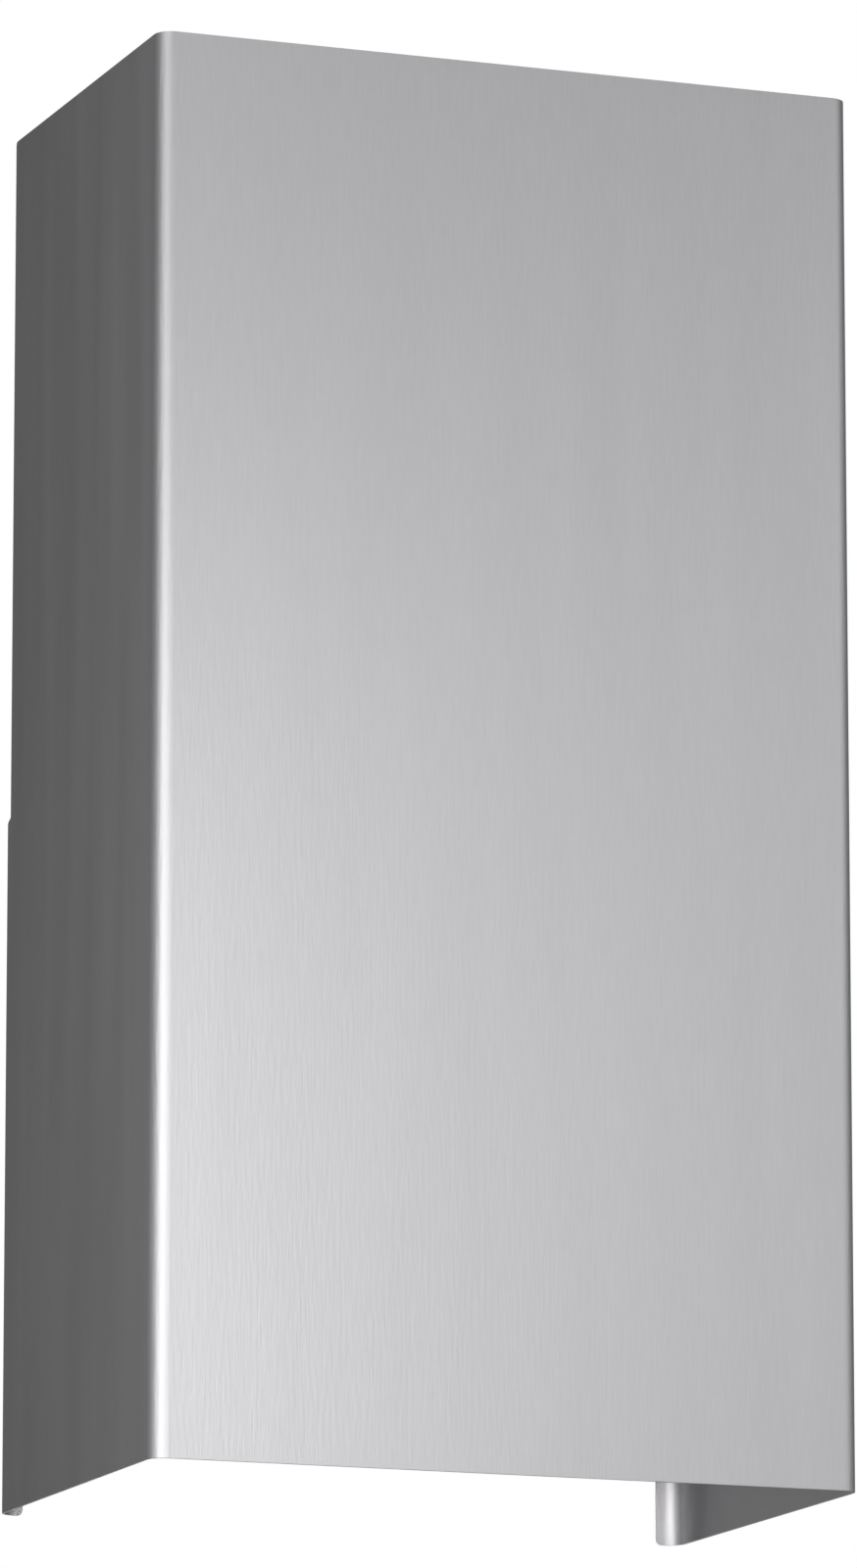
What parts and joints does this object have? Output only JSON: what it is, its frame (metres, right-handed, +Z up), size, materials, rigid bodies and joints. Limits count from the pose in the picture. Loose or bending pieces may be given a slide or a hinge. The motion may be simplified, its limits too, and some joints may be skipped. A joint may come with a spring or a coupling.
{
  "type": "cooker hood chimney section",
  "caption": "Open-backed box section of folded brushed stainless steel that covers the duct above a cooker hood, with rounded bends and narrow return flanges along the lower rear edges.",
  "frame": {"origin": "middle of the lower end's outer rectangle, on the plane of the lower edge", "axes": "+Z up along the height, -Y out of the front panel, +Y towards the wall, +X to the right seen from the front"},
  "size_m": [0.26, 0.168, 0.5],
  "materials": {
    "brushed_steel": "satin, with a fine brushed grain along the height"
  },
  "bodies": {
    "root": {"chimney_section": "brushed_steel"}
  },
  "joints": []
}
